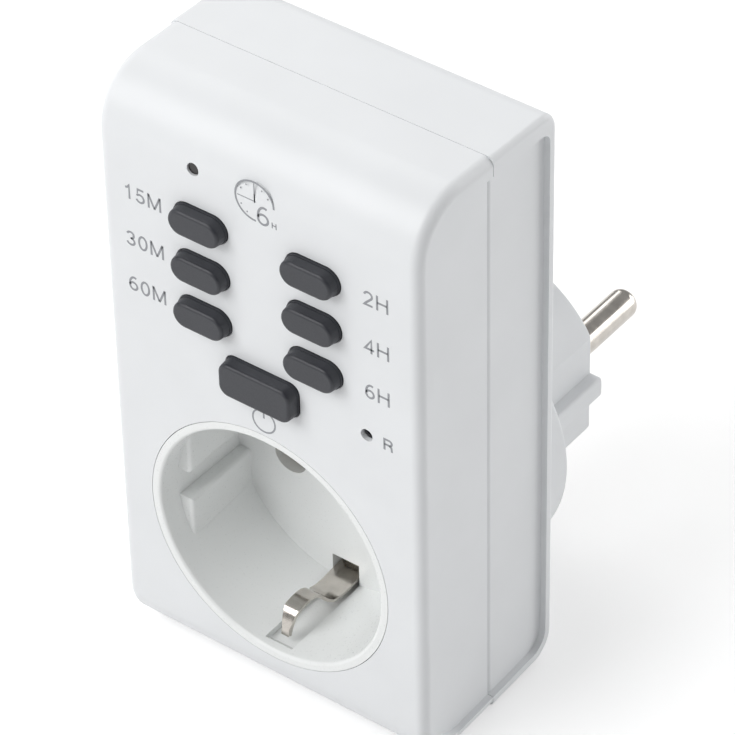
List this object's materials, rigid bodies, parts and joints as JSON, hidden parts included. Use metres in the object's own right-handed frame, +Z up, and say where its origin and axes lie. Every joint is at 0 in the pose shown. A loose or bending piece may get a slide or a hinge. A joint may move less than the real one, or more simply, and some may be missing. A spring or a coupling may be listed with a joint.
{
  "type": "plug-in countdown timer",
  "caption": "Plug-in countdown timer: a white two-shell housing with a round earthed socket and grey keys in front and a round earthed two-pin plug behind.",
  "frame": {"origin": "centre of the plug's face, midway between the two pins", "axes": "+Y out of the plug's face into the wall, +Z up, +X to the right when the front is looked at"},
  "size_m": [0.054, 0.0777, 0.0998],
  "materials": {
    "housing_plastic": "satin white",
    "insert_plastic": "satin white",
    "key_plastic": "matte dark grey",
    "nickel_plate": "nickel plated, polished",
    "contact_brass": "bare",
    "screw_steel": "zinc plated",
    "circuit_board": "green lacquer",
    "component_black": "moulded",
    "switch_plunger": "moulded",
    "led_lens": "clear red",
    "crystal_can": "polished",
    "resistor_body": "lacquered",
    "film_case": "moulded",
    "can_sleeve": "sleeved",
    "varistor_lacquer": "lacquered",
    "relay_case": "moulded",
    "copper_wire": "enamelled",
    "soft_iron": "plated"
  },
  "bodies": {
    "housing": {"front_shell": "housing_plastic", "rear_shell": "housing_plastic", "plug_base": "housing_plastic", "socket_insert": "insert_plastic", "socket_earth_bracket": "nickel_plate", "plug_earth_bracket": "nickel_plate", "plug_pin_left": "nickel_plate", "plug_pin_right": "nickel_plate", "earth_link": "contact_brass", "socket_contact_left": "contact_brass", "socket_contact_right": "contact_brass", "neutral_link": "contact_brass", "line_in_link": "contact_brass", "line_out_link": "contact_brass", "control_board": "circuit_board", "power_board": "circuit_board", "control_board_screws": "screw_steel", "insert_screws": "screw_steel", "power_board_screws": "screw_steel", "housing_screws": "screw_steel", "tact_switch_bodies": "component_black", "led_indicator": "led_lens", "timer_chip": "component_black", "quartz_crystal": "crystal_can", "smd_resistors": "resistor_body", "header_strip": "component_black", "header_pins": "contact_brass", "film_capacitor": "film_case", "electrolytic_capacitor": "can_sleeve", "varistor": "varistor_lacquer", "safety_resistor": "resistor_body", "rectifier_diodes": "component_black", "relay_base": "relay_case", "relay_cover": "relay_case", "relay_coil": "copper_wire", "relay_yoke": "soft_iron", "relay_contacts": "contact_brass"},
    "key_15m": {"button_15m": "key_plastic", "plunger_15m": "switch_plunger"},
    "key_30m": {"button_30m": "key_plastic", "plunger_30m": "switch_plunger"},
    "key_60m": {"button_60m": "key_plastic", "plunger_60m": "switch_plunger"},
    "key_2h": {"button_2h": "key_plastic", "plunger_2h": "switch_plunger"},
    "key_4h": {"button_4h": "key_plastic", "plunger_4h": "switch_plunger"},
    "key_6h": {"button_6h": "key_plastic", "plunger_6h": "switch_plunger"},
    "key_power": {"button_power": "key_plastic", "plunger_power": "switch_plunger"},
    "reset": {"reset_plunger": "switch_plunger"},
    "armature": {"relay_armature": "soft_iron"}
  },
  "joints": [
    {"name": "press_15m", "type": "slide", "parent": "housing", "child": "key_15m", "axis": [0, 1, 0], "range_m": [0, 0.0005], "stiffness_N_per_m": 300, "springref_m": -0.002},
    {"name": "press_30m", "type": "slide", "parent": "housing", "child": "key_30m", "axis": [0, 1, 0], "range_m": [0, 0.0005], "stiffness_N_per_m": 300, "springref_m": -0.002},
    {"name": "press_60m", "type": "slide", "parent": "housing", "child": "key_60m", "axis": [0, 1, 0], "range_m": [0, 0.0005], "stiffness_N_per_m": 300, "springref_m": -0.002},
    {"name": "press_2h", "type": "slide", "parent": "housing", "child": "key_2h", "axis": [0, 1, 0], "range_m": [0, 0.0005], "stiffness_N_per_m": 300, "springref_m": -0.002},
    {"name": "press_4h", "type": "slide", "parent": "housing", "child": "key_4h", "axis": [0, 1, 0], "range_m": [0, 0.0005], "stiffness_N_per_m": 300, "springref_m": -0.002},
    {"name": "press_6h", "type": "slide", "parent": "housing", "child": "key_6h", "axis": [0, 1, 0], "range_m": [0, 0.0005], "stiffness_N_per_m": 300, "springref_m": -0.002},
    {"name": "press_power", "type": "slide", "parent": "housing", "child": "key_power", "axis": [0, 1, 0], "range_m": [0, 0.0005], "stiffness_N_per_m": 300, "springref_m": -0.002},
    {"name": "press_reset", "type": "slide", "parent": "housing", "child": "reset", "axis": [0, 1, 0], "range_m": [0, 0.0005], "stiffness_N_per_m": 100, "springref_m": -0.003},
    {"name": "armature_rock", "type": "hinge", "parent": "housing", "child": "armature", "pos_m": [-0.0012, -0.0371, 0.0562], "axis": [0, 1, 0], "range_deg": [0, 4], "stiffness_Nm_per_rad": 0.001, "springref_deg": -11.46}
  ]
}
